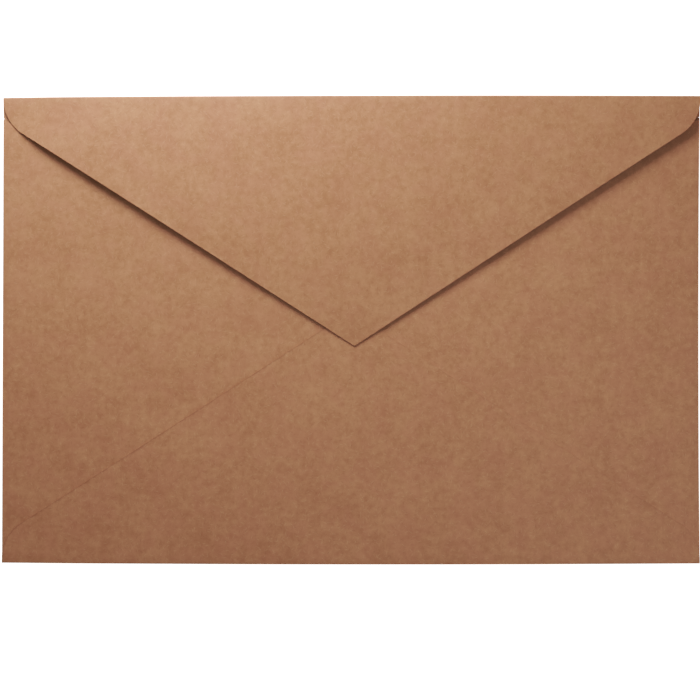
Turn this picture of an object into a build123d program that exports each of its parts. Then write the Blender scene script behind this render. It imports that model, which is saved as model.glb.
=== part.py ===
from build123d import *
import os
from math import atan, cos, pi, radians, sin, tan

# A pointed-flap envelope, folded and glued from one die-cut sheet of kraft paper.
# It lies on its front, the address side, with its back and its closed flap up.
# The origin is the middle of the front face, +X runs along the long side, +Y
# points to the crease of the closing flap, and +Z is up, out of the back.
#
# From the floor up: the front panel, the two side flaps, the bottom flap glued
# over them, and the closing flap, which is folded over but not stuck down.

# Driving dimensions, in millimetres and degrees.
width = 228.6  # finished size along X, 9 in
height = 152.4  # finished size along Y, 6 in
paper = 0.18  # thickness of the sheet
pocket_gap = 0.35  # free depth of the empty pocket
glue_film = 0.05  # dried glue between the bottom flap and a side flap

shoulder_radius = 13.5  # rounded shoulders of the closing flap and the bottom flap
closing_depth = 81.3  # crease to the point of the closing flap
closing_drop = 8.1  # crease to where its straight edge would meet the side
closing_point_x = 1.25  # the point is not quite in the middle
closing_point_radius = 1.0
bottom_depth = 82.4  # the same three for the bottom flap, from its fold
bottom_drop = 9.1
bottom_point_radius = 10.0  # its hidden end is blunt

flap_lift = 2.3  # the closing flap springs up this far off the back at its crease
crease_radius = 0.35
panel_curl = 40.0  # the front panel curls off the floor by this angle, up to the crease
flap_rise = 0.7  # the closing flap still rises this much as it leaves the crease
flap_arch = 4.1  # and bends down this much between its crease and its point

side_reach = 111.0  # side fold to the blunt end of a side flap
side_upper_slope = 28.0  # hidden under the closing flap
side_lower_slope = 27.0  # hidden under the bottom flap
side_end_radius = 8.0
corner_notch = 0.3  # die-cut gap between two folds that meet at a corner

glue_setback = 3.0  # edge of the bottom flap to its line of glue
glue_width = 7.0
glue_ends = 24.0  # the glue line is this much shorter than the flap's edge

# Levels and radii that follow from them. A fold's radius is that of mid-paper.
side_flap_top = 2 * paper + pocket_gap
side_fold = (pocket_gap + paper) / 2
bottom_fold = (pocket_gap + glue_film) / 2 + paper
curl_cos = cos(radians(panel_curl))
curl_radius = (side_flap_top + flap_lift - crease_radius * (1 + curl_cos)) / (1 - curl_cos)
curl_run = (curl_radius - crease_radius) * sin(radians(panel_curl))

# The flat of the front panel ends where each fold, or the curl, starts to turn.
panel_x = width / 2 - side_fold - paper / 2
panel_bottom = -height / 2 + bottom_fold + paper / 2
panel_top = height / 2 - crease_radius - paper / 2 - curl_run
strip_spare = 10.0  # a strip is made this much too long, and then cut to its outline


def paper_section(bends, place):
    """Section through the paper as it leaves the front panel. It starts level on the
    floor and turns upwards through each (length, degrees) of bends, where 0 degrees is
    a straight run. place puts a point (run, rise) of the section in space."""
    run, rise, heading = 0.0, paper / 2, 0.0
    under, upper = [], []

    def faces_here():
        """The points on the two faces of the paper, square to its middle."""
        step_run = -sin(heading) * paper / 2
        step_rise = cos(heading) * paper / 2
        return place(run - step_run, rise - step_rise), place(run + step_run, rise + step_rise)

    for length, degrees in bends:
        stops = [faces_here()]
        for _ in range(2):
            turn = radians(degrees) / 2
            chord = length / 2
            if turn:
                chord *= sin(turn / 2) / (turn / 2)
            run += chord * cos(heading + turn / 2)
            rise += chord * sin(heading + turn / 2)
            heading += turn
            stops.append(faces_here())
        for face, points in zip((under, upper), zip(*stops)):
            if degrees:
                face.append(Edge.make_three_point_arc(*points))
            else:
                face.append(Edge.make_line(points[0], points[2]))
    first_cap = Edge.make_line(under[0] @ 0, upper[0] @ 0)
    last_cap = Edge.make_line(under[-1] @ 1, upper[-1] @ 1)
    return Face(Wire([*under, *upper, first_cap, last_cap]))


def pointed_outline(drop, depth, point_x, point_radius):
    """Plan of a pointed flap that hangs from its folded edge along Y 0."""
    half = width / 2
    corners = [(-half, 0), (half, 0), (half, -drop), (point_x, -depth), (-half, -drop)]
    outline = make_face(Polyline(*corners, close=True))
    outline = fillet(outline.vertices().sort_by(Axis.Y)[0], point_radius)
    shoulders = [v for v in outline.vertices() if abs(v.Y + drop) < 0.01]
    return fillet(shoulders, shoulder_radius)


def side_outline():
    """Plan of the right side flap, with its fold."""
    top = panel_top - corner_notch
    bottom = panel_bottom + corner_notch
    end = width / 2 - side_reach
    corners = [
        (width / 2, top),
        (end, top - tan(radians(side_upper_slope)) * side_reach),
        (end, bottom + tan(radians(side_lower_slope)) * side_reach),
        (width / 2, bottom),
    ]
    outline = make_face(Polyline(*corners, close=True))
    ends = [v for v in outline.vertices() if abs(v.X - end) < 0.01]
    return fillet(ends, side_end_radius)


def cut_to(strip, outline):
    """The strip of folded paper that lies inside a plan outline."""
    return strip & extrude(outline, amount=side_flap_top + 2 * flap_lift)


def front_panel():
    """The address side, flat on the floor."""
    panel = Box(2 * panel_x, panel_top - panel_bottom, paper)
    return Pos(0, (panel_top + panel_bottom) / 2, paper / 2) * panel


def closing_flap():
    """The panel's curl, the crease along the top edge, and the arched flap."""
    crease_turn = 180 - flap_rise - panel_curl
    flap_length = closing_depth + strip_spare
    bends = [
        (curl_radius * radians(panel_curl), panel_curl),
        (crease_radius * radians(crease_turn), crease_turn),
        (flap_length, flap_arch * flap_length / closing_depth),
    ]
    section = paper_section(
        bends, lambda run, rise: Vector(-width / 2, panel_top + run, rise)
    )
    plan = pointed_outline(
        closing_drop, closing_depth, closing_point_x, closing_point_radius
    )
    strip = extrude(section, amount=width, dir=(1, 0, 0))
    return cut_to(strip, Pos(0, height / 2) * plan)


def bottom_flap():
    """Half-turn fold along the bottom edge, and the flat flap over the side flaps."""
    bends = [(bottom_fold * pi, 180), (bottom_depth + strip_spare, 0)]
    section = paper_section(
        bends, lambda run, rise: Vector(-width / 2, panel_bottom - run, rise)
    )
    plan = pointed_outline(bottom_drop, bottom_depth, 0, bottom_point_radius)
    strip = extrude(section, amount=width, dir=(1, 0, 0))
    return cut_to(strip, Pos(0, -height / 2) * mirror(plan, about=Plane.XZ))


def right_flap():
    """Half-turn fold along the right edge, and the flat flap that closes that side."""
    bends = [(side_fold * pi, 180), (side_reach + strip_spare, 0)]
    section = paper_section(
        bends, lambda run, rise: Vector(panel_x + run, panel_bottom, rise)
    )
    strip = extrude(section, amount=panel_top - panel_bottom, dir=(0, 1, 0))
    return cut_to(strip, side_outline())


def right_glue_line():
    """Dried glue that holds the bottom flap down on the right side flap."""
    slope = atan((bottom_depth - bottom_drop) / (width / 2))
    length = width / 2 / cos(slope) - glue_ends
    below_edge = (glue_setback + glue_width / 2) / cos(slope)
    middle_y = -height / 2 + (bottom_depth + bottom_drop) / 2 - below_edge
    line = Pos(width / 4, middle_y, side_flap_top) * Rot(0, 0, -slope * 180 / pi)
    return line * extrude(Rectangle(length, glue_width), amount=glue_film)


right_half = right_flap() + right_glue_line()
left_half = mirror(right_half, about=Plane.YZ)
envelope = front_panel() + closing_flap() + bottom_flap() + right_half + left_half

os.makedirs("parts", exist_ok=True)
export_step(envelope, "parts/envelope.step")

box = envelope.bounding_box()
print("solids", len(envelope.solids()), "volume mm3", round(envelope.volume, 1))
print("size mm", [round(side, 2) for side in box.size], "lowest", round(box.min.Z, 4))
print("curl radius", round(curl_radius, 2), "flat panel top", round(panel_top, 2))
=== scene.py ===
# %% [markdown]
# # A kraft paper envelope
#
# This lesson builds a brown envelope that lies on its address side, with its back
# and its closed flap up. A real one is a single sheet of paper: a machine cuts a
# cross-shaped blank out of a roll, creases it along four lines, folds two side flaps
# in, glues the bottom flap over them, and folds the closing flap down last.
#
# The lesson goes the same way. It cuts the blank flat, gives it the thickness of
# paper, rolls each flap over along its crease, and lets the finished envelope spring
# and wave a little, as paper does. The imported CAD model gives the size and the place.

# %% Load the frame
import math

import bmesh
import bpy
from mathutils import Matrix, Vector, geometry, noise


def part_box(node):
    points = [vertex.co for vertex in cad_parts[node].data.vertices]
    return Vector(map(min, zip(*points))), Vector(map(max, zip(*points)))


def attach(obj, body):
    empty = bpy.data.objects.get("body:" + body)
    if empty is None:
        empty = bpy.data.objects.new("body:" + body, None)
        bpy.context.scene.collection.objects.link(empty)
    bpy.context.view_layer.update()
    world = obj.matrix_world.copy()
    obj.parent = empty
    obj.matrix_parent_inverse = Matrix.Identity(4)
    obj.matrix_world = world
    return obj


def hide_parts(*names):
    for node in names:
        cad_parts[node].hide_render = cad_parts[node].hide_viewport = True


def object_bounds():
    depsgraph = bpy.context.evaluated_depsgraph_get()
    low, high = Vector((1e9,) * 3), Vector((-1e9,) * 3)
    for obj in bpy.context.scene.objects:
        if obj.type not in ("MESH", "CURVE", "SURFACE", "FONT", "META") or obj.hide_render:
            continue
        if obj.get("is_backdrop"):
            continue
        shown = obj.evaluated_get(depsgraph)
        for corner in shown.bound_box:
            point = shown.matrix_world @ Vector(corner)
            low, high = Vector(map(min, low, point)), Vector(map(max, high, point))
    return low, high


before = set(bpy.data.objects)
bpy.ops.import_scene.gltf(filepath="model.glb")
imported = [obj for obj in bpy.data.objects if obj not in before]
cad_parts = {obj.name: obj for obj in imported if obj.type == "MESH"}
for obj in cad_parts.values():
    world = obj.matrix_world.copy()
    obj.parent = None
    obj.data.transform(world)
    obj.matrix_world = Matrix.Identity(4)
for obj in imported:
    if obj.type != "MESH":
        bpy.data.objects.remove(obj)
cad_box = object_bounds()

MM = 0.001
low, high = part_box("envelope")
width = high.x - low.x
height = high.y - low.y
print(f"finished size {width / MM:.1f} x {height / MM:.1f} mm")

# %% [markdown]
# ## The camera
#
# The envelope is seen from straight above, as flat goods usually are.
# A long lens far away keeps its four sides parallel. The camera stands a little
# below the middle of the envelope, so there is more floor under it than over it.

# %% Camera
camera_height = 1.2
view_width = 230.3 * MM
sensor = 36.0
aim_x = -0.2 * MM
aim_y = -6.6 * MM

camera_data = bpy.data.cameras.new("camera")
camera_data.sensor_width = sensor
camera_data.lens = sensor * camera_height / view_width
camera = bpy.data.objects.new("camera", camera_data)
camera.location = (aim_x, aim_y, camera_height)
bpy.context.scene.collection.objects.link(camera)
bpy.context.scene.camera = camera
print(f"lens {camera_data.lens:.0f} mm, {camera_height:.1f} m above the floor")

# %% [markdown]
# ## Sizes of the paper and its folds
#
# Kraft for envelopes of this size weighs about 145 grams per square metre and is
# 0.18 mm thick. Each fold is a short roll of paper: its radius is measured to the
# middle of the sheet, and the gap it leaves is what the layers inside need. The
# crease of the closing flap is sharper, but the flap is only folded over, so it
# springs up and lifts the edge of the front panel with it. From there it arches
# over, until its point hangs just above the back.

# %% Paper and folds
paper = 0.18 * MM
pocket_gap = 0.35 * MM
glue_film = 0.05 * MM
half_turn = math.pi

side_fold = (pocket_gap + paper) / 2
bottom_fold = (pocket_gap + glue_film) / 2 + paper
back_level = 2 * paper + pocket_gap

crease_radius = 0.35 * MM
flap_lift = 2.3 * MM
panel_curl = math.radians(40)
flap_rise = math.radians(0.7)
flap_arch = math.radians(4.02)

rise_left = back_level + flap_lift - crease_radius * (1 + math.cos(panel_curl))
curl_radius = rise_left / (1 - math.cos(panel_curl))
curl_run = (curl_radius - crease_radius) * math.sin(panel_curl)

panel_x = width / 2 - side_fold - paper / 2
panel_bottom = -height / 2 + bottom_fold + paper / 2
panel_top = height / 2 - crease_radius - paper / 2 - curl_run
print(f"curl radius {curl_radius / MM:.1f} mm over a run of {curl_run / MM:.1f} mm")

# %% [markdown]
# ## How paper rolls through a fold
#
# Paper bends but doesn't stretch. So a fold is described by how far one walks along
# the sheet and how much it turns on the way: a list of bends, each a length and an
# angle. Walking along that list gives the place and the slope of the paper at any
# distance from the flat panel, and every point of the blank keeps its distance.

# %% Bends of the four flaps
closing_depth = 81.3 * MM
bottom_depth = 82.4 * MM
side_reach = 111.0 * MM
crease_turn = math.pi - flap_rise - panel_curl

closing_bends = [
    (curl_radius * panel_curl, panel_curl),
    (crease_radius * crease_turn, crease_turn),
    (closing_depth, flap_arch),
]
bottom_bends = [(bottom_fold * half_turn, half_turn), (bottom_depth, 0.0)]
side_bends = [(side_fold * half_turn, half_turn), (side_reach, 0.0)]


def follow(bends, distance):
    """Run, rise and heading of the middle of the paper at a distance along bends."""
    run = rise = heading = 0.0
    for number, (length, turn) in enumerate(bends):
        last = number == len(bends) - 1
        step = distance if last else min(distance, length)
        turned = turn * step / length
        half = turned / 2
        chord = step * (math.sin(half) / half if half else 1.0)
        run += chord * math.cos(heading + half)
        rise += chord * math.sin(heading + half)
        heading += turned
        distance -= step
        if distance <= 0:
            break
    return run, rise, heading


def edge_of_fold(bends, folds):
    """How far the finished edge of a fold lies from the flat panel, in plan, and how
    much paper it takes to come back level with that edge."""
    steps = 400
    used = sum(length for length, turn in bends[:folds])
    reach = 0.0
    for number in range(steps + 1):
        run, rise, heading = follow(bends, used * number / steps)
        reach = max(reach, run + paper / 2 * math.sin(heading))
    back = follow(bends, used)[0]
    return reach, used - (reach - back)


closing_edge, closing_paper = edge_of_fold(closing_bends, 2)
bottom_edge, bottom_paper = edge_of_fold(bottom_bends, 1)
side_edge, side_paper = edge_of_fold(side_bends, 1)
print(f"closing crease {closing_edge / MM:.2f} mm past the flat, {closing_paper / MM:.2f} mm of paper")

# %% [markdown]
# ## The flat blank
#
# The front panel starts as a grid. Each flap is extruded from one side of it, so the
# sheet stays in one piece, and then sliced into rows with bisect_plane: rows close
# together where the paper will roll, and wider apart where it stays flat.
#
# The same operator with clear_outer works as the die that cuts the outline: a cut
# along each straight edge, and a fan of cuts round each rounded corner. All four
# flaps have convex outlines, so straight cuts are enough.

# %% Helpers that slice and cut
grid_pitch = 2.4 * MM
fold_rows = 10
up = Vector((0, 1, 0))
right = Vector((1, 0, 0))


def beyond(bm, direction, distance):
    """The faces that lie past a distance along direction, with their edges and points."""
    faces = [f for f in bm.faces if f.calc_center_median().dot(direction) > distance]
    edges = {edge for face in faces for edge in face.edges}
    points = {point for face in faces for point in face.verts}
    return faces + list(edges) + list(points)


def slice_at(bm, direction, foot, distance):
    """Cut a row across everything past foot, at a distance along direction."""
    bmesh.ops.bisect_plane(
        bm,
        geom=beyond(bm, direction, foot),
        dist=1e-7,
        plane_co=direction * distance,
        plane_no=direction,
    )


def die_cut(bm, direction, foot, point, outward):
    """Cut away what lies past foot and outside a line through point."""
    bmesh.ops.bisect_plane(
        bm,
        geom=beyond(bm, direction, foot),
        dist=1e-7,
        plane_co=point,
        plane_no=outward,
        clear_outer=True,
    )


def round_cut(bm, direction, foot, centre, radius, start, end):
    """Cut a rounded corner as a fan of lines that touch its circle."""
    fan_step = math.radians(3.0)
    cuts = math.ceil(abs(end - start) / fan_step)
    for number in range(cuts + 1):
        angle = start + (end - start) * number / cuts
        outward = Vector((math.cos(angle), math.sin(angle), 0))
        die_cut(bm, direction, foot, centre + outward * radius, outward)


def round_corner(bm, direction, foot, before, corner, after, radius):
    """Round off the corner between two straight edges of an outline."""
    one = (before - corner).normalized()
    two = (after - corner).normalized()
    opening = one.angle(two) / 2
    inward = (one + two).normalized()
    centre = corner + inward * radius / math.sin(opening)
    middle = math.atan2(-inward.y, -inward.x)
    spread = math.pi / 2 - opening
    round_cut(bm, direction, foot, centre, radius, middle - spread, middle + spread)


# %% Front panel
columns = math.ceil(2 * panel_x / grid_pitch)
rows = math.ceil((panel_top - panel_bottom) / grid_pitch)
panel_middle = Vector((0, (panel_top + panel_bottom) / 2, 0))

blank = bmesh.new()
bmesh.ops.create_grid(blank, x_segments=columns, y_segments=rows, size=0.5)
bmesh.ops.scale(
    blank, vec=(2 * panel_x, panel_top - panel_bottom, 1), verts=blank.verts
)
bmesh.ops.translate(blank, vec=panel_middle, verts=blank.verts)
print(f"front panel: {len(blank.faces)} faces")

# %% [markdown]
# The die leaves a small notch where two folds meet at a corner, so that they can
# turn without pinching. The side flaps start beyond it, and the closing flap and the
# bottom flap widen there to the full width of the finished envelope.

# %% Extrude the flaps
corner_notch = 0.08 * MM
side_top = panel_top - corner_notch
side_bottom = panel_bottom + corner_notch
half = width / 2

for level in (side_top, side_bottom):
    slice_at(blank, up, -height, level)


def rim_edges(bm, direction, distance, lowest, highest):
    """The edges on the blank's rim that cross direction at a distance."""
    found = []
    for edge in bm.edges:
        middle = (edge.verts[0].co + edge.verts[1].co) / 2
        place = middle.y if direction.x else middle.x
        level = abs(middle.dot(direction) - distance) < 1e-6
        if edge.is_boundary and level and lowest < place < highest:
            found.append(edge)
    return found


def extrude_rim(bm, direction, distance, length, lowest=-1.0, highest=1.0, widen=1.0):
    """Extrude the rim at a distance along direction, and widen the new rim."""
    edges = rim_edges(bm, direction, distance, lowest, highest)
    out = bmesh.ops.extrude_edge_only(bm, edges=edges)["geom"]
    points = [item for item in out if isinstance(item, bmesh.types.BMVert)]
    bmesh.ops.translate(bm, vec=direction * length, verts=points)
    bmesh.ops.scale(bm, vec=(widen, 1, 1), verts=points)


def slice_flap(bm, direction, foot, bends):
    """Cut a flap's rows: close together through its folds, then at an even pitch."""
    start = foot
    for length, turn in bends[:-1]:
        for number in range(1, fold_rows + 1):
            slice_at(bm, direction, foot, start + length * number / fold_rows)
        start += length
    flat = math.ceil(bends[-1][0] / grid_pitch)
    for number in range(1, flat):
        slice_at(bm, direction, foot, start + bends[-1][0] * number / flat)


flaps = {
    "closing": (up, panel_top, closing_bends),
    "bottom": (-up, -panel_bottom, bottom_bends),
    "right": (right, panel_x, side_bends),
    "left": (-right, panel_x, side_bends),
}
for name, (direction, foot, bends) in flaps.items():
    length = sum(length for length, turn in bends)
    if name in ("closing", "bottom"):
        extrude_rim(blank, direction, foot, corner_notch, widen=half / panel_x)
        extrude_rim(blank, direction, foot + corner_notch, length - corner_notch)
    else:
        extrude_rim(blank, direction, foot, length, side_bottom, side_top)
    slice_flap(blank, direction, foot, bends)
    print(f"{name} flap: {length / MM:.1f} mm of paper, {len(blank.faces)} faces so far")

# %% [markdown]
# Both pointed flaps have straight edges from a rounded shoulder to the point. The
# closing flap's point is a millimetre off the middle, as a die often leaves it. The
# bottom flap ends in a blunt round, which stays hidden under the closing flap.

# %% Die-cut outlines
shoulder_radius = 13.5 * MM
closing_drops = (7.8 * MM, 8.4 * MM)
closing_point_x = 1.25 * MM
closing_point_radius = 0.8 * MM
bottom_drops = (9.1 * MM, 9.1 * MM)
bottom_point_radius = 10.0 * MM
side_upper_slope = math.radians(28)
side_lower_slope = math.radians(27)
side_end_radius = 8.0 * MM


def die_along(bm, direction, foot, start, end, side):
    """Cut away what lies past foot and on one side of a line from start to end."""
    along = (end - start).normalized()
    outward = Vector((along.y, -along.x, 0))
    outward *= math.copysign(1.0, outward.dot(side))
    die_cut(bm, direction, foot, start, outward)


def cut_pointed(bm, direction, foot, edge, drops, depth, point_x, point_radius):
    """Cut a pointed flap. edge is where its finished edge lies along direction, and
    drops and depth are how far past that its two shoulders and its point are."""
    point = right * point_x + direction * (edge + depth)
    shoulders = []
    for side, drop in zip((-right, right), drops):
        shoulder = side * half + direction * (edge + drop)
        die_along(bm, direction, foot, shoulder, point, side)
        above = shoulder - direction * drop
        round_corner(bm, direction, foot, above, shoulder, point, shoulder_radius)
        shoulders.append(shoulder)
    round_corner(bm, direction, foot, shoulders[0], point, shoulders[1], point_radius)


def cut_side(bm, direction, foot, edge, reach):
    """Cut a side flap: two sloping edges to a blunt end with rounded corners."""
    end = direction * (edge + reach)
    die_cut(bm, direction, foot, end, direction)
    rise = reach + edge - foot
    high_foot = direction * foot + up * side_top
    low_foot = direction * foot + up * side_bottom
    high_end = end + up * (side_top - rise * math.tan(side_upper_slope))
    low_end = end + up * (side_bottom + rise * math.tan(side_lower_slope))
    for corner, far, sense in ((high_foot, high_end, up), (low_foot, low_end, -up)):
        die_along(bm, direction, foot, corner, far, sense)
    round_corner(bm, direction, foot, high_foot, high_end, low_end, side_end_radius)
    round_corner(bm, direction, foot, low_foot, low_end, high_end, side_end_radius)


cut_pointed(
    blank,
    up,
    panel_top,
    panel_top + closing_paper,
    closing_drops,
    closing_depth,
    closing_point_x,
    closing_point_radius,
)
cut_pointed(
    blank,
    -up,
    -panel_bottom,
    -panel_bottom + bottom_paper,
    bottom_drops,
    bottom_depth,
    0.0,
    bottom_point_radius,
)
for direction in (right, -right):
    cut_side(blank, direction, panel_x, panel_x + side_paper, side_reach)
print(f"die-cut blank: {len(blank.faces)} faces")

# %% [markdown]
# ## Thickness, and maps of the blank
#
# The solidify operator turns the flat blank into a closed slab, 0.18 mm thick. Its
# underside becomes the outside of the envelope.
#
# Two things are written on the blank while it is still flat. The first is a UV map
# of each point's place on it: fibres and clouds belong to the sheet, so they have to
# go over a fold with it and break off at a cut edge, as on real paper. The second is
# an attribute on the bottom flap, the distance to its cut edge. From that distance the
# finish paints a line of shade of any width, where the flap's edge would cast shadow.

# %% Thickness
blank_area = sum(face.calc_area() for face in blank.faces)
far_from_seam = 1.0


def cut_edges(bm, direction, foot):
    """The two ends of every edge that the die left on one flap."""
    found = []
    for edge in bm.edges:
        ends = [point.co.copy() for point in edge.verts]
        nearest = min(end.dot(direction) for end in ends)
        if edge.is_boundary and nearest > foot + corner_notch / 2:
            found.append(ends)
    return found


def distance_to(edges, place):
    """The distance from a place to the nearest of some straight edges."""
    nearest = far_from_seam
    for start, end in edges:
        foot, part = geometry.intersect_point_line(place, start, end)
        foot = start if part < 0 else end if part > 1 else foot
        nearest = min(nearest, (place - foot).length)
    return nearest


def thicken(bm):
    """Give the flat blank its thickness, from Z 0 up."""
    bmesh.ops.recalc_face_normals(bm, faces=bm.faces)
    bmesh.ops.solidify(bm, geom=bm.faces[:], thickness=paper)
    lowest = min(point.co.z for point in bm.verts)
    bmesh.ops.translate(bm, vec=(0, 0, -lowest), verts=bm.verts)
    bmesh.ops.recalc_face_normals(bm, faces=bm.faces)


seam_edges = cut_edges(blank, -up, -panel_bottom)
thicken(blank)
levels = {round(point.co.z / MM, 3) for point in blank.verts}
open_edges = sum(1 for edge in blank.edges if not edge.is_manifold)
print(f"levels {sorted(levels)} mm, {open_edges} open edges, {len(blank.faces)} faces")
print(f"area of the blank {blank_area:.5f} m2, {len(seam_edges)} cut edges on the bottom flap")

# %% Maps of the blank
map_scale = 0.5
blank_map = blank.loops.layers.uv.new("blank")
for face in blank.faces:
    for loop in face.loops:
        x, y, z = loop.vert.co
        loop[blank_map].uv = (0.5 + (x + z) / map_scale, 0.5 + (y + z) / map_scale)

seam = blank.verts.layers.float.new("seam")
for point in blank.verts:
    point[seam] = far_from_seam
    if point.co.dot(-up) > -panel_bottom + bottom_fold:
        flat_place = Vector((point.co.x, point.co.y, 0))
        point[seam] = distance_to(seam_edges, flat_place)

cut_faces = 1
for face in blank.faces:
    face.normal_update()
    if abs(face.normal.z) < 0.5:
        face.material_index = cut_faces
print(f"{sum(face.material_index for face in blank.faces)} faces on the cut edges")

# %% [markdown]
# ## Folding
#
# Every point moves by the same rule. A point on the front panel stays. A point on a
# flap walks along that flap's bends, and its height in the paper is laid off square
# to the slope there. So the sheet keeps its thickness through the tightest crease.
#
# The closing flap is not folded quite evenly. The left end of its crease has been
# pressed flatter, as where a thumb closed it, and the rounded shoulder beside it lies
# almost on the back. The flap is also twisted a little, so its right edge hangs lower
# than its left. Each is a share of its height. The curl and the crease are pressed as
# one, so the two layers that meet there stay apart.

# %% Fold the flaps
pressed_share = 0.80
pressed_reach = 14.0 * MM
pressed_corner = Vector((-width / 2, height / 2, 0))
tucked_share = 0.93
tucked_reach = 9.0 * MM
tucked_foot = 6.0 * MM
flap_twist = 0.9
twist_foot = 0.2


def kept_height(place):
    """The share of its lift that the closing flap keeps at a place in plan."""
    from_corner = (place - pressed_corner).length / pressed_reach
    pressed = 1 - pressed_share * math.exp(-(from_corner**3))
    away = min(1.0, max(0.0, (height / 2 - place.y) / closing_depth))
    sideways = place.x / (width / 2)
    return pressed * (1 - flap_twist * (away - twist_foot) * sideways)


def tucked(place):
    """The share of its height that the flap's left shoulder loses, none at the crease."""
    down = height / 2 - place.y
    from_shoulder = math.hypot(place.x + width / 2, down - tucked_reach) / tucked_reach
    return tucked_share * min(1.0, down / tucked_foot) * math.exp(-(from_shoulder**2))


def roll(point, direction, foot, bends):
    """Where a point of the flat slab goes when its flap is rolled over."""
    across = point - direction * point.dot(direction)
    walked = point.dot(direction) - foot
    run, rise, heading = follow(bends, walked)
    side = point.z - paper / 2
    out = foot + run - side * math.sin(heading)
    place = Vector((across.x, across.y, 0)) + direction * out
    if bends is closing_bends:
        kept = kept_height(place)
        if walked < closing_bends[0][0] + closing_bends[1][0]:
            rise *= (back_level + kept * flap_lift) / (back_level + flap_lift)
        else:
            kept *= 1 - tucked(place)
            rise = back_level + kept * (rise - back_level)
    return place + Vector((0, 0, paper / 2 + rise + side * math.cos(heading)))


moved = dict.fromkeys(flaps, 0)
flap_of = {}
for point in blank.verts:
    for name, (direction, foot, bends) in flaps.items():
        if point.co.dot(direction) > foot + 1e-7:
            point.co = roll(point.co, direction, foot, bends)
            flap_of[point] = name
            moved[name] += 1
            break
print("points rolled over:", moved)

# %% [markdown]
# ## The life in the paper
#
# So far the envelope is too perfect. On a real one the folds bow by a few tenths of a
# millimetre, a little air keeps the pocket open, and damp air makes the sheet cockle
# in long shallow waves. All three are smooth fields over the plan of the
# envelope, so layers that lie on each other move together and never cross. A cloth
# simulation could do it too, but a stiff sheet moves so little that fields are truer.
#
# The front panel lies on the table and stays flat: the waves grow with height.

# %% Bow, air and cockle
air_lift = 0.18 * MM
cockle_height = 0.10 * MM
cockle_pitch = 34.0 * MM
flap_wave_height = 0.16 * MM
flap_wave_pitch = 46.0 * MM
side_bow = 0.45 * MM
end_bow = 0.35 * MM
side_shift = 0.10 * MM
bottom_shift = 0.50 * MM
top_slant = 0.25 * MM
bottom_slant = 0.12 * MM
out_of_square = 0.28 * MM
pocket_layer = 3.7
flap_layer = 8.2
wave_gain = 1.6


def bow(x, y):
    """How far a place moves in plan: u and v run from -1 to 1 over the envelope."""
    u = x / (width / 2)
    v = y / (height / 2)
    left_out = -side_shift + out_of_square * v
    right_out = side_shift + side_bow * v * v
    top_out = end_bow + top_slant * u + end_bow * (1 - u * u)
    bottom_out = -bottom_shift - bottom_slant * u - side_bow * (1 - u * u)
    across = (left_out * (1 - u) + right_out * (1 + u)) / 2
    along = (bottom_out * (1 - v) + top_out * (1 + v)) / 2
    return across, along


def cockle(x, y, pitch, layer):
    """A smooth wave between about -1 and 1."""
    return wave_gain * noise.noise(Vector((x / pitch, y / pitch, layer)))


def lift(x, y):
    """How far the back of the envelope stands above its flat height."""
    u = min(1.0, abs(x / (width / 2)))
    v = min(1.0, abs(y / (height / 2)))
    inside = (1 - u**4) * (1 - v**4)
    return inside * (air_lift + cockle_height * cockle(x, y, cockle_pitch, pocket_layer))


def flap_wave(x, y):
    """How far the closing flap waves on top of that, more towards its point."""
    away = min(1.0, max(0.0, (height / 2 - y) / closing_depth))
    return away * flap_wave_height * cockle(x, y, flap_wave_pitch, flap_layer)


for point in blank.verts:
    x, y, z = point.co
    above = min(1.0, max(0.0, (z - paper) / pocket_gap))
    rise = above * lift(x, y)
    if flap_of.get(point) == "closing":
        rise += above * flap_wave(x, y)
    across, along = bow(x, y)
    point.co += Vector((across, along, rise))
heights = [point.co.z / MM for point in blank.verts]
print(f"heights {min(heights):.2f} to {max(heights):.2f} mm")

# %% The folded sheet as one piece
mesh = bpy.data.meshes.new("envelope_paper")
blank.to_mesh(mesh)
blank.free()
mesh.shade_smooth()
mesh.set_sharp_from_angle(angle=math.radians(50))
envelope = bpy.data.objects.new("envelope_paper", mesh)
bpy.context.scene.collection.objects.link(envelope)

blank_length = panel_top - panel_bottom
for bends in (closing_bends, bottom_bends):
    blank_length += sum(length for length, turn in bends)
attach(envelope, "root")
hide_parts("envelope")

# %% [markdown]
# ## Kraft paper
#
# Kraft is unbleached pulp. Close up it has three layers of detail: soft clouds where
# the pulp settled thicker or thinner, a fine tooth that the felt pressed into it, and
# single fibres, some darker and some paler than the rest, lying every way.
#
# Clouds and tooth are noise. A fibre is drawn in a Voronoi cell: the cell gives each
# one its own place and its own turn, and the distance to a bent line through that
# place makes the stroke. Both effects are node groups, because the face of the paper
# and its cut edge share them. All of them read the map of the blank, in millimetres.

# %% Helpers for node trees
MM_ACROSS_MAP = map_scale / MM


def new_group(name, inputs, outputs):
    """A shader node group with named inputs (name, kind, default) and outputs."""
    tree = bpy.data.node_groups.new(name, "ShaderNodeTree")
    for label, kind, default in inputs:
        socket = tree.interface.new_socket(name=label, in_out="INPUT", socket_type=kind)
        if default is not None:
            socket.default_value = default
    for label, kind in outputs:
        tree.interface.new_socket(name=label, in_out="OUTPUT", socket_type=kind)
    return tree, tree.nodes.new("NodeGroupInput"), tree.nodes.new("NodeGroupOutput")


def connect(tree, value, socket):
    """Link an output socket, or set a plain value."""
    if isinstance(value, bpy.types.NodeSocket):
        tree.links.new(value, socket)
    else:
        socket.default_value = value


def math_node(tree, operation, *values):
    """A Math node, and its output."""
    node = tree.nodes.new("ShaderNodeMath")
    node.operation = operation
    for socket, value in zip(node.inputs, values):
        connect(tree, value, socket)
    return node.outputs[0]


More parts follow.
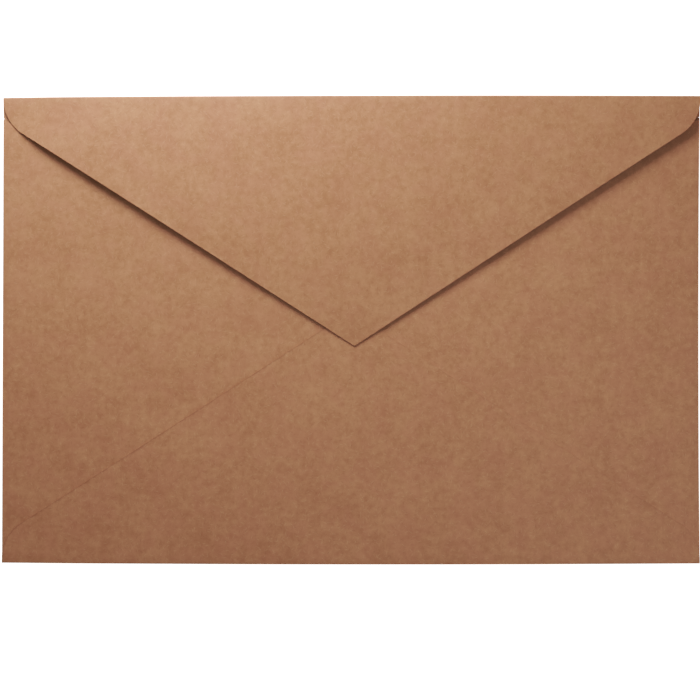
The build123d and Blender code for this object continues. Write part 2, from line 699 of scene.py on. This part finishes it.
def vector_node(tree, operation, one, two):
    """A Vector Math node, and its vector output."""
    node = tree.nodes.new("ShaderNodeVectorMath")
    node.operation = operation
    connect(tree, one, node.inputs[0])
    target = node.inputs["Scale"] if operation == "SCALE" else node.inputs[1]
    connect(tree, two, target)
    return node.outputs[0]


def ramp_node(tree, value, low_end, high_end, from_value=0.0, to_value=1.0):
    """A smooth step of a value from low_end to high_end."""
    node = tree.nodes.new("ShaderNodeMapRange")
    node.interpolation_type = "SMOOTHSTEP"
    labels = ("Value", "From Min", "From Max", "To Min", "To Max")
    for label, entry in zip(labels, (value, low_end, high_end, from_value, to_value)):
        connect(tree, entry, node.inputs[label])
    return node.outputs["Result"]


def noise_node(tree, place, scale, detail, rough):
    """Noise between 0 and 1 about 0.5, at scale waves to a millimetre."""
    node = tree.nodes.new("ShaderNodeTexNoise")
    node.noise_dimensions = "2D"
    settings = {"Vector": place, "Scale": scale, "Detail": detail, "Roughness": rough}
    for label, entry in settings.items():
        connect(tree, entry, node.inputs[label])
    return node.outputs["Fac"]


def mix_node(tree, share, one, two):
    """A Mix node for colours."""
    node = tree.nodes.new("ShaderNodeMix")
    node.data_type = "RGBA"
    connect(tree, share, node.inputs["Factor"])
    for label, entry in (("A", one), ("B", two)):
        sockets = [s for s in node.inputs if s.name == label and s.type == "RGBA"]
        connect(tree, entry, sockets[0])
    return [s for s in node.outputs if s.type == "RGBA"][0]


# %% Pulp clouds and tooth
def build_pulp():
    """Clouds from 16 mm down to a fifth of a millimetre, and the felt's tooth."""
    tree, given, result = new_group(
        "pulp",
        [("Place", "NodeSocketVector", None)],
        [("Clouds", "NodeSocketFloat"), ("Tooth", "NodeSocketFloat")],
    )
    place = given.outputs["Place"]
    clouds = noise_node(tree, place, 1 / 16, 6.5, 1.0)
    connect(tree, clouds, result.inputs["Clouds"])
    tooth = noise_node(tree, place, 1 / 2.4, 1.3, 0.5)
    connect(tree, tooth, result.inputs["Tooth"])
    return tree


pulp = build_pulp()
print("group:", pulp.name)


# %% Single fibres
def build_fibres():
    """One bent stroke in each cell, faded out in the cells past Share."""
    tree, given, result = new_group(
        "fibres",
        [
            ("Place", "NodeSocketVector", None),
            ("Cell", "NodeSocketFloat", 2.0),
            ("Length", "NodeSocketFloat", 1.0),
            ("Width", "NodeSocketFloat", 0.1),
            ("Share", "NodeSocketFloat", 0.5),
        ],
        [("Mask", "NodeSocketFloat")],
    )
    smaller = math_node(tree, "DIVIDE", 1.0, given.outputs["Cell"])
    cells = vector_node(tree, "SCALE", given.outputs["Place"], smaller)
    voronoi = tree.nodes.new("ShaderNodeTexVoronoi")
    voronoi.voronoi_dimensions = "2D"
    voronoi.inputs["Scale"].default_value = 1.0
    connect(tree, cells, voronoi.inputs["Vector"])
    chance = tree.nodes.new("ShaderNodeSeparateColor")
    connect(tree, voronoi.outputs["Color"], chance.inputs[0])
    turn, bend, wanted = chance.outputs

    offset = vector_node(tree, "SUBTRACT", cells, voronoi.outputs["Position"])
    rotate = tree.nodes.new("ShaderNodeVectorRotate")
    rotate.rotation_type = "Z_AXIS"
    connect(tree, offset, rotate.inputs["Vector"])
    connect(tree, math_node(tree, "MULTIPLY", turn, math.tau), rotate.inputs["Angle"])
    in_mm = vector_node(tree, "SCALE", rotate.outputs["Vector"], given.outputs["Cell"])
    axes = tree.nodes.new("ShaderNodeSeparateXYZ")
    connect(tree, in_mm, axes.inputs[0])
    along = axes.outputs["X"]

    curve = math_node(tree, "MULTIPLY_ADD", bend, 1.2, -0.6)
    sag = math_node(tree, "MULTIPLY", curve, math_node(tree, "MULTIPLY", along, along))
    off_line = math_node(tree, "ABSOLUTE", math_node(tree, "SUBTRACT", axes.outputs["Y"], sag))
    off_end = math_node(tree, "ABSOLUTE", along)
    half_width = math_node(tree, "MULTIPLY", given.outputs["Width"], 0.5)
    half_length = math_node(tree, "MULTIPLY", given.outputs["Length"], 0.5)
    stroke = ramp_node(tree, off_line, half_width, 0.0)
    ends = ramp_node(tree, off_end, half_length, 0.0)
    kept = math_node(tree, "LESS_THAN", wanted, given.outputs["Share"])
    mask = math_node(tree, "MULTIPLY", math_node(tree, "MULTIPLY", stroke, ends), kept)
    connect(tree, mask, result.inputs["Mask"])
    return tree


fibres = build_fibres()
print("group:", fibres.name)

# %% [markdown]
# The face of the paper mixes these over one brown. Real kraft gets redder where it
# is darker, so the dark end of the clouds is not the same brown made dimmer. Here and
# there the pulp also took a rosier tint. The tooth and the fibres raise the surface a
# hundredth of a millimetre.
#
# Along the bottom flap's cut edge a thin line of painted shade comes and goes, where
# the step of the flap's edge would be in shadow. It is strong on the left, and only
# just there on the right.

# %% Kraft finish
kraft_pale = (0.526, 0.269, 0.158, 1)
kraft_dark = (0.404, 0.188, 0.100, 1)
kraft_rosy = (0.480, 0.210, 0.137, 1)
# The colour of the dark fibres, also used for the painted shade along the seam.
dark_fibre_and_shade = (0.270, 0.120, 0.060, 1)
fibre_pale = (0.660, 0.420, 0.280, 1)
tooth_share = 0.34
fibre_share = 0.34
fibre_relief = 0.35
dark_fibres = {"Cell": 2.1, "Length": 1.6, "Width": 0.30, "Share": 0.6}
pale_fibres = {"Cell": 1.7, "Length": 1.8, "Width": 0.30, "Share": 0.6}
rosy_pitch = 10.0
rosy_share = 0.24
seam_shade_width = 1.1
seam_shade_strength = 0.45


def place_group(tree, group, place, **values):
    """A node that uses a group, at a place in millimetres."""
    node = tree.nodes.new("ShaderNodeGroup")
    node.node_tree = group
    connect(tree, place, node.inputs["Place"])
    for label, entry in values.items():
        connect(tree, entry, node.inputs[label])
    return node


def blank_place(tree):
    """The place on the flat blank, in millimetres."""
    source = tree.nodes.new("ShaderNodeUVMap")
    source.uv_map = "blank"
    return vector_node(tree, "SCALE", source.outputs["UV"], MM_ACROSS_MAP)


def paper_colour(tree, place, pale, dark):
    """Base colour and height of kraft at a place, with its pulp and fibres."""
    made = place_group(tree, pulp, place)
    clouds, tooth = made.outputs
    shade = math_node(tree, "MULTIPLY_ADD", tooth, tooth_share, clouds)
    shade = math_node(tree, "SUBTRACT", shade, tooth_share / 2)
    colour = mix_node(tree, ramp_node(tree, shade, 0.22, 0.78), dark, pale)
    dark_mask = place_group(tree, fibres, place, **dark_fibres).outputs["Mask"]
    shifted = vector_node(tree, "ADD", place, (37.0, 91.0, 0.0))
    tint = noise_node(tree, shifted, 1 / rosy_pitch, 2.0, 0.6)
    rosy = ramp_node(tree, tint, 0.42, 0.62, 0.0, rosy_share)
    colour = mix_node(tree, rosy, colour, kraft_rosy)
    pale_mask = place_group(tree, fibres, shifted, **pale_fibres).outputs["Mask"]
    for mask, fibre_colour in ((dark_mask, dark_fibre_and_shade), (pale_mask, fibre_pale)):
        share = math_node(tree, "MULTIPLY", mask, fibre_share)
        colour = mix_node(tree, share, colour, fibre_colour)
    fibre_height = math_node(tree, "MAXIMUM", dark_mask, pale_mask)
    height_in_paper = math_node(tree, "MULTIPLY_ADD", fibre_height, fibre_relief, tooth)
    return colour, clouds, height_in_paper


def seam_shade_line(tree, place):
    """A painted line of shade along the bottom flap's edge, 0 where there is none."""
    source = tree.nodes.new("ShaderNodeAttribute")
    source.attribute_name = "seam"
    distance = math_node(tree, "DIVIDE", source.outputs["Fac"], MM)
    ragged = noise_node(tree, place, 1 / 2.5, 3.0, 0.7)
    reach = ramp_node(tree, ragged, 0.35, 0.65, 0.20, seam_shade_width)
    near = ramp_node(tree, distance, reach, 0.0)
    axes = tree.nodes.new("ShaderNodeSeparateXYZ")
    connect(tree, place, axes.inputs[0])
    middle = MM_ACROSS_MAP / 2
    leftward = ramp_node(tree, axes.outputs["X"], middle + 12.0, middle - 12.0, 0.38, 1.0)
    return math_node(tree, "MULTIPLY", near, leftward)


def finish_paper(material, colour, clouds, height_in_paper, rough, relief):
    """Put colour, roughness and relief into a material's Principled BSDF."""
    tree = material.node_tree
    shader = tree.nodes["Principled BSDF"]
    connect(tree, colour, shader.inputs["Base Color"])
    varied = ramp_node(tree, clouds, 0.25, 0.75, rough - 0.05, rough + 0.05)
    connect(tree, varied, shader.inputs["Roughness"])
    bump = tree.nodes.new("ShaderNodeBump")
    bump.inputs["Strength"].default_value = 1.0
    bump.inputs["Distance"].default_value = relief
    connect(tree, height_in_paper, bump.inputs["Height"])
    connect(tree, bump.outputs["Normal"], shader.inputs["Normal"])


kraft = bpy.data.materials.new("kraft_paper")
kraft.use_nodes = True
paper_place = blank_place(kraft.node_tree)
face_colour, face_clouds, face_height = paper_colour(
    kraft.node_tree, paper_place, kraft_pale, kraft_dark
)
# Painted shade: a dark line along the bottom flap's cut edge, in the dark fibres' colour.
painted_seam_shade = seam_shade_line(kraft.node_tree, paper_place)
seam_shade_share = math_node(kraft.node_tree, "MULTIPLY", painted_seam_shade, seam_shade_strength)
face_colour = mix_node(kraft.node_tree, seam_shade_share, face_colour, dark_fibre_and_shade)
finish_paper(kraft, face_colour, face_clouds, face_height, rough=0.62, relief=0.013 * MM)
mesh.materials.append(kraft)

# %% [markdown]
# ## The cut edge
#
# Where the die went through, the sheet shows its torn fibre ends: rougher, a little
# darker, and without the felt's finish. Those faces have their own material, made of
# the same groups with other values.

# %% Cut edge finish
edge_pale = (0.470, 0.260, 0.145, 1)
edge_dark = (0.340, 0.165, 0.085, 1)

cut_edge = bpy.data.materials.new("kraft_cut_edge")
cut_edge.use_nodes = True
edge_place = vector_node(cut_edge.node_tree, "SCALE", blank_place(cut_edge.node_tree), 2.0)
edge_parts = paper_colour(cut_edge.node_tree, edge_place, edge_pale, edge_dark)
finish_paper(cut_edge, *edge_parts, rough=0.85, relief=0.05 * MM)
mesh.materials.append(cut_edge)
print("materials:", [material.name for material in mesh.materials])

# %% [markdown]
# ## Floor
#
# Flat goods are often laid on a lit table, so that the white around them carries no
# shadow. The floor here glows by itself for the same reason.

# %% Floor
floor_size = 6.0
floor_mesh = bpy.data.meshes.new("floor")
floor_bm = bmesh.new()
bmesh.ops.create_grid(floor_bm, x_segments=1, y_segments=1, size=floor_size / 2)
floor_bm.to_mesh(floor_mesh)
floor_bm.free()
floor = bpy.data.objects.new("floor", floor_mesh)
bpy.context.scene.collection.objects.link(floor)
floor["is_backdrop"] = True

floor_material = bpy.data.materials.new("floor")
floor_material.use_nodes = True
floor_shader = floor_material.node_tree.nodes["Principled BSDF"]
floor_shader.inputs["Base Color"].default_value = (0.9, 0.9, 0.9, 1)
floor_shader.inputs["Roughness"].default_value = 0.9
floor_shader.inputs["Emission Color"].default_value = (1, 1, 1, 1)
floor_shader.inputs["Emission Strength"].default_value = 1.0
floor_mesh.materials.append(floor_material)

# %% [markdown]
# ## Light
#
# One softbox close by, past the top edge and a little to the left, does nearly all
# the work: it is low enough for the lifted flap to throw its narrow shadow, and near
# enough for the light to fall off over the envelope. A weaker lamp above the opposite
# corner and a dim surround keep the shadow brown, not black.

# %% Lamps
def softbox(name, place, size, power):
    """A square lamp that faces the middle of the envelope."""
    data = bpy.data.lights.new(name, "AREA")
    data.shape = "SQUARE"
    data.size = size
    data.energy = power
    lamp = bpy.data.objects.new(name, data)
    lamp.location = place
    lamp.rotation_euler = (-Vector(place)).to_track_quat("-Z", "Y").to_euler()
    bpy.context.scene.collection.objects.link(lamp)
    print(f"{name}: {Vector(place).length:.2f} m away, {power:.2f} W")


softbox("key_softbox", (-0.080, 0.225, 0.160), 0.141, 0.495)
softbox("fill_softbox", (0.140, -0.100, 0.260), 0.15, 0.112)

# %% [markdown]
# The surround is two backgrounds. What lights the paper is dim. What the camera sees
# past the edge of the floor is white, so that low views have a pale backdrop too. The
# Light Path node tells the two apart.

# %% Surround
surround_light = (0.112, 0.094, 0.070, 1)
backdrop = (1.0, 1.0, 1.0, 1)

world = bpy.data.worlds.new("surround")
bpy.context.scene.world = world
world.use_nodes = True
sky = world.node_tree
lit_by = sky.nodes["Background"]
lit_by.inputs["Color"].default_value = surround_light
seen = sky.nodes.new("ShaderNodeBackground")
seen.inputs["Color"].default_value = backdrop
light_path = sky.nodes.new("ShaderNodeLightPath")
either = sky.nodes.new("ShaderNodeMixShader")
sky.links.new(light_path.outputs["Is Camera Ray"], either.inputs[0])
sky.links.new(lit_by.outputs[0], either.inputs[1])
sky.links.new(seen.outputs[0], either.inputs[2])
sky.links.new(either.outputs[0], sky.nodes["World Output"].inputs["Surface"])

# %% [markdown]
# ## Tone
#
# Goods are usually shown with some contrast: shadows a little deeper, and bright
# tones rolled off towards white. That is what turns the same brown paler and less red
# where the light is strongest. A tone curve in the colour management does it for the
# whole picture, and leaves the paper's own colour alone. It is a line in stops of
# light, bent a little, and four points along it are enough to draw it.

# %% Tone curve
middle_in = 0.15
middle_out = 0.25
contrast = 1.02
roll_off = 0.18


def toned(brightness):
    """The brightness after the curve: contrast about the middle, less of it higher up."""
    distance = math.log(brightness / middle_in)
    return middle_out * math.exp(contrast * distance - roll_off * distance**2)


view = bpy.context.scene.view_settings
view.view_transform = "Standard"
view.use_curve_mapping = True
tone = view.curve_mapping.curves[3]
for stops in (-1.3, 0.0, 1.0, 1.7):
    brightness = middle_in * 2**stops
    tone.points.new(brightness, toned(brightness))
view.curve_mapping.update()
print("tone curve:", [tuple(round(v, 3) for v in point.location) for point in tone.points])

# %% [markdown]
# ## Sizes, and the end
#
# The two boxes are printed, so that the finished envelope can be compared with the
# CAD model: it may differ from it only by what soft paper does.

# %% Finish
visual_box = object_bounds()
boxes = {
    "cad": [list(corner) for corner in cad_box],
    "visual": [list(corner) for corner in visual_box],
}
for name, corners in boxes.items():
    print(name, [[round(value / MM, 2) for value in corner] for corner in corners])
